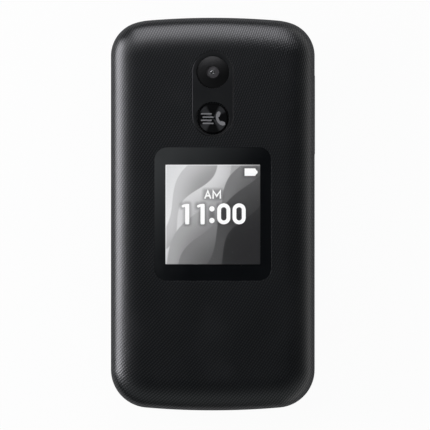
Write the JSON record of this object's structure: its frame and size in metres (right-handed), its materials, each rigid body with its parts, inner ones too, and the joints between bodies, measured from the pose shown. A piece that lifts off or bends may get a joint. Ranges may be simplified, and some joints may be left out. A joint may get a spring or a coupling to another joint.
{
  "type": "flip phone",
  "caption": "Clamshell phone with a hinged lid, outer display, camera, quick key, sprung keypad keys, volume rocker and lift-off battery cover.",
  "frame": {"origin": "centre of the footprint on the resting face, with the phone closed and lying on its back cover", "axes": "+X towards the volume rocker's side, +Y towards the hinge, +Z out of the lid's outer face"},
  "size_m": [0.0551, 0.106, 0.019],
  "materials": {
    "lid_shell": "charcoal soft-touch plastic with a fine lattice texture",
    "frame_plastic": "dark moulded plastic",
    "base_shell": "charcoal moulded plastic",
    "battery_cover_plastic": "charcoal soft-touch plastic with a fine lattice texture",
    "gloss_window": "clear hard-coated window with a black border",
    "display": "display module",
    "trim": "satin plastic",
    "camera_black": "polished black",
    "lens_glass": "coated lens",
    "spun_metal": "radially spun",
    "key_plastic": "semi-gloss key caps",
    "key_metal": "metallic painted plastic",
    "steel_part": "plain",
    "circuit_board": "solder-masked laminate",
    "rubber_part": "moulded",
    "membrane": "translucent silicone",
    "battery_cell": "wrapped lithium cell",
    "contact_metal": "gold flashed",
    "flex_film": "polyimide film",
    "module_black": "moulded"
  },
  "bodies": {
    "keypad_half": {"front_housing": "base_shell", "rear_housing": "frame_plastic", "main_board": "circuit_board", "shield_cans": "steel_part", "key_domes": "steel_part", "keypad_membrane": "membrane", "battery_contacts": "contact_metal", "card_socket": "steel_part", "loudspeaker": "module_black", "microphone": "steel_part", "charging_socket": "steel_part", "audio_jack": "module_black", "volume_switches": "steel_part", "base_screws": "steel_part", "antenna": "contact_metal", "hinge_cam_shaft": "steel_part", "hinge_bush": "module_black"},
    "lid": {"lid_outer_cover": "lid_shell", "lid_inner_frame": "frame_plastic", "outer_window": "gloss_window", "outer_display": "display", "camera_trim_plate": "trim", "camera_ring": "camera_black", "camera_lens": "lens_glass", "camera_module": "module_black", "quick_key_switch": "steel_part", "earpiece": "module_black", "earpiece_mesh": "steel_part", "main_window": "gloss_window", "main_display": "display", "lid_board": "circuit_board", "vibration_motor": "steel_part", "lid_magnet": "steel_part", "lid_screws": "steel_part", "lid_bumpers": "rubber_part", "hinge_cartridge": "steel_part", "hinge_flex": "flex_film"},
    "quick_key": {"quick_key": "spun_metal"},
    "volume_rocker": {"volume_rocker": "key_plastic"},
    "battery_cover": {"battery_cover": "battery_cover_plastic"},
    "battery": {"battery": "battery_cell"},
    "key_1": {"key_1": "key_plastic"},
    "key_2": {"key_2": "key_plastic"},
    "key_3": {"key_3": "key_plastic"},
    "key_4": {"key_4": "key_plastic"},
    "key_5": {"key_5": "key_plastic"},
    "key_6": {"key_6": "key_plastic"},
    "key_7": {"key_7": "key_plastic"},
    "key_8": {"key_8": "key_plastic"},
    "key_9": {"key_9": "key_plastic"},
    "key_star": {"key_star": "key_plastic"},
    "key_0": {"key_0": "key_plastic"},
    "key_hash": {"key_hash": "key_plastic"},
    "navigation_ring": {"navigation_ring": "key_metal"},
    "select_key": {"select_key": "key_metal"},
    "soft_key_left": {"soft_key_left": "key_plastic"},
    "soft_key_right": {"soft_key_right": "key_plastic"},
    "send_key": {"send_key": "key_plastic"},
    "end_key": {"end_key": "key_plastic"},
    "clear_key": {"clear_key": "key_plastic"}
  },
  "joints": [
    {"name": "lid_hinge", "type": "hinge", "parent": "keypad_half", "child": "lid", "pos_m": [0, 0.046, 0.00975], "axis": [-1, 0, 0], "range_deg": [0, 155]},
    {"name": "quick_key_press", "type": "slide", "parent": "lid", "child": "quick_key", "axis": [0, 0, -1], "range_m": [0, 0.0003], "stiffness_N_per_m": 600},
    {"name": "volume_rocker_press", "type": "slide", "parent": "keypad_half", "child": "volume_rocker", "axis": [-1, 0, 0], "range_m": [0, 0.0003], "stiffness_N_per_m": 600},
    {"name": "battery_cover_off", "type": "slide", "parent": "keypad_half", "child": "battery_cover", "axis": [0, 0, -1], "range_m": [0, 0.03]},
    {"name": "battery_out", "type": "slide", "parent": "keypad_half", "child": "battery", "axis": [0, 0, -1], "range_m": [0, 0.015]},
    {"name": "key_1_press", "type": "slide", "parent": "keypad_half", "child": "key_1", "axis": [0, 0, -1], "range_m": [0, 0.00025], "stiffness_N_per_m": 600},
    {"name": "key_2_press", "type": "slide", "parent": "keypad_half", "child": "key_2", "axis": [0, 0, -1], "range_m": [0, 0.00025], "stiffness_N_per_m": 600},
    {"name": "key_3_press", "type": "slide", "parent": "keypad_half", "child": "key_3", "axis": [0, 0, -1], "range_m": [0, 0.00025], "stiffness_N_per_m": 600},
    {"name": "key_4_press", "type": "slide", "parent": "keypad_half", "child": "key_4", "axis": [0, 0, -1], "range_m": [0, 0.00025], "stiffness_N_per_m": 600},
    {"name": "key_5_press", "type": "slide", "parent": "keypad_half", "child": "key_5", "axis": [0, 0, -1], "range_m": [0, 0.00025], "stiffness_N_per_m": 600},
    {"name": "key_6_press", "type": "slide", "parent": "keypad_half", "child": "key_6", "axis": [0, 0, -1], "range_m": [0, 0.00025], "stiffness_N_per_m": 600},
    {"name": "key_7_press", "type": "slide", "parent": "keypad_half", "child": "key_7", "axis": [0, 0, -1], "range_m": [0, 0.00025], "stiffness_N_per_m": 600},
    {"name": "key_8_press", "type": "slide", "parent": "keypad_half", "child": "key_8", "axis": [0, 0, -1], "range_m": [0, 0.00025], "stiffness_N_per_m": 600},
    {"name": "key_9_press", "type": "slide", "parent": "keypad_half", "child": "key_9", "axis": [0, 0, -1], "range_m": [0, 0.00025], "stiffness_N_per_m": 600},
    {"name": "key_star_press", "type": "slide", "parent": "keypad_half", "child": "key_star", "axis": [0, 0, -1], "range_m": [0, 0.00025], "stiffness_N_per_m": 600},
    {"name": "key_0_press", "type": "slide", "parent": "keypad_half", "child": "key_0", "axis": [0, 0, -1], "range_m": [0, 0.00025], "stiffness_N_per_m": 600},
    {"name": "key_hash_press", "type": "slide", "parent": "keypad_half", "child": "key_hash", "axis": [0, 0, -1], "range_m": [0, 0.00025], "stiffness_N_per_m": 600},
    {"name": "navigation_ring_press", "type": "slide", "parent": "keypad_half", "child": "navigation_ring", "axis": [0, 0, -1], "range_m": [0, 0.00025], "stiffness_N_per_m": 600},
    {"name": "select_key_press", "type": "slide", "parent": "keypad_half", "child": "select_key", "axis": [0, 0, -1], "range_m": [0, 0.00025], "stiffness_N_per_m": 600},
    {"name": "soft_key_left_press", "type": "slide", "parent": "keypad_half", "child": "soft_key_left", "axis": [0, 0, -1], "range_m": [0, 0.00025], "stiffness_N_per_m": 600},
    {"name": "soft_key_right_press", "type": "slide", "parent": "keypad_half", "child": "soft_key_right", "axis": [0, 0, -1], "range_m": [0, 0.00025], "stiffness_N_per_m": 600},
    {"name": "send_key_press", "type": "slide", "parent": "keypad_half", "child": "send_key", "axis": [0, 0, -1], "range_m": [0, 0.00025], "stiffness_N_per_m": 600},
    {"name": "end_key_press", "type": "slide", "parent": "keypad_half", "child": "end_key", "axis": [0, 0, -1], "range_m": [0, 0.00025], "stiffness_N_per_m": 600},
    {"name": "clear_key_press", "type": "slide", "parent": "keypad_half", "child": "clear_key", "axis": [0, 0, -1], "range_m": [0, 0.00025], "stiffness_N_per_m": 600}
  ],
  "couplings": [
    {"joint": "battery_out", "follows": "battery_cover_off", "ratio": 0.5}
  ]
}
